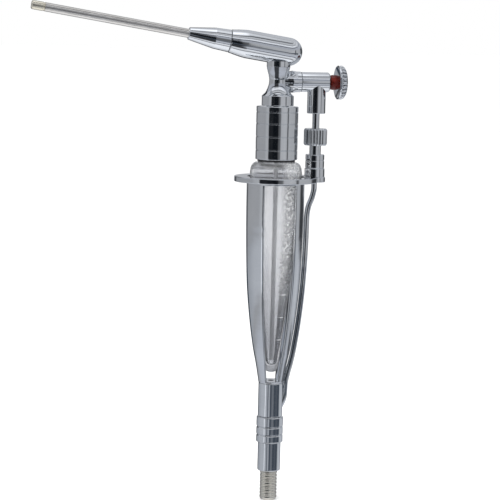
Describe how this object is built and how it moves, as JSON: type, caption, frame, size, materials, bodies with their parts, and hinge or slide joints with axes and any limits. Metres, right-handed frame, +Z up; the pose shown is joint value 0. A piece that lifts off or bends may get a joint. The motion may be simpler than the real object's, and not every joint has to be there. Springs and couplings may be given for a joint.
{
  "type": "medicine spray gun",
  "caption": "Hand-held chromed spray gun: glass liquid bottle in a windowed holder, push-button air valve, tilted head with a long thin spray tube, ribbed hose tail below.",
  "frame": {"origin": "on the handle's axis, at the lower end of the hose tail; the air way opens there, so the mount's point is 1.3 mm beside it", "axes": "+Z up the handle's axis, -X the way the spray tube points, +X towards the push button, -Y the front window"},
  "size_m": [0.1509, 0.04, 0.2381],
  "materials": {
    "chrome": "polished",
    "brushed_nickel": "satin, slightly warm nickel",
    "pale_brass": "satin pale brass",
    "steel": "plain drawn stainless",
    "bottle_glass": "clear, fire polished",
    "black_rubber": "matte",
    "white_seal": "waxy white seal",
    "red_ring": "glossy deep red-brown"
  },
  "bodies": {
    "holder": {"holder_shell": "chrome", "hanger_flange": "chrome", "seat_ring": "black_rubber", "stem": "chrome", "air_tube": "chrome", "union_fitting": "chrome", "union_seal": "white_seal", "coupling_seal": "black_rubber"},
    "coupling": {"coupling_sleeve": "chrome"},
    "hose_end": {"hose_sleeve": "chrome", "hose_tail": "brushed_nickel"},
    "head": {"glass_bottle": "bottle_glass", "shoulder_ring": "black_rubber", "mouth_seal": "white_seal", "tube_plug": "pale_brass", "dip_tube": "steel", "neck": "chrome", "head_barrel": "chrome", "liquid_tube": "steel", "valve_body": "chrome", "valve_gland": "pale_brass", "spindle_seal": "black_rubber", "valve_spring": "steel", "down_pipe": "chrome", "pipe_ferrule": "pale_brass"},
    "collar": {"bottle_collar": "chrome"},
    "nozzle": {"nozzle_nut": "chrome", "nozzle_seal": "black_rubber", "spray_tube": "brushed_nickel", "spray_tip": "pale_brass"},
    "button": {"push_button": "chrome", "colour_ring": "red_ring", "valve_spindle": "steel", "valve_disc": "black_rubber"},
    "nut": {"union_nut": "chrome"}
  },
  "joints": [
    {"name": "head_lift", "type": "slide", "parent": "holder", "child": "head", "axis": [0, 0, 1], "range_m": [0, 0.1]},
    {"name": "button_press", "type": "slide", "parent": "head", "child": "button", "axis": [-1, 0, 0], "range_m": [0, 0.0025], "stiffness_N_per_m": 1200, "springref_m": -0.001, "deforming": ["valve_spring"]},
    {"name": "collar_turn", "type": "hinge", "parent": "head", "child": "collar", "pos_m": [0, 0, 0.178], "axis": [0, 0, 1], "continuous": true},
    {"name": "nozzle_turn", "type": "hinge", "parent": "head", "child": "nozzle", "pos_m": [0, 0, 0.2172], "axis": [-0.9874, 0, 0.1582], "continuous": true},
    {"name": "union_nut_turn", "type": "hinge", "parent": "head", "child": "nut", "pos_m": [0.0189, 0, 0.1762], "axis": [0, 0, 1], "continuous": true},
    {"name": "coupling_turn", "type": "hinge", "parent": "holder", "child": "coupling", "pos_m": [0, 0, 0.0345], "axis": [0, 0, 1], "continuous": true},
    {"name": "hose_swivel", "type": "hinge", "parent": "holder", "child": "hose_end", "pos_m": [0, 0, 0.02], "axis": [0, 0, 1], "continuous": true}
  ]
}
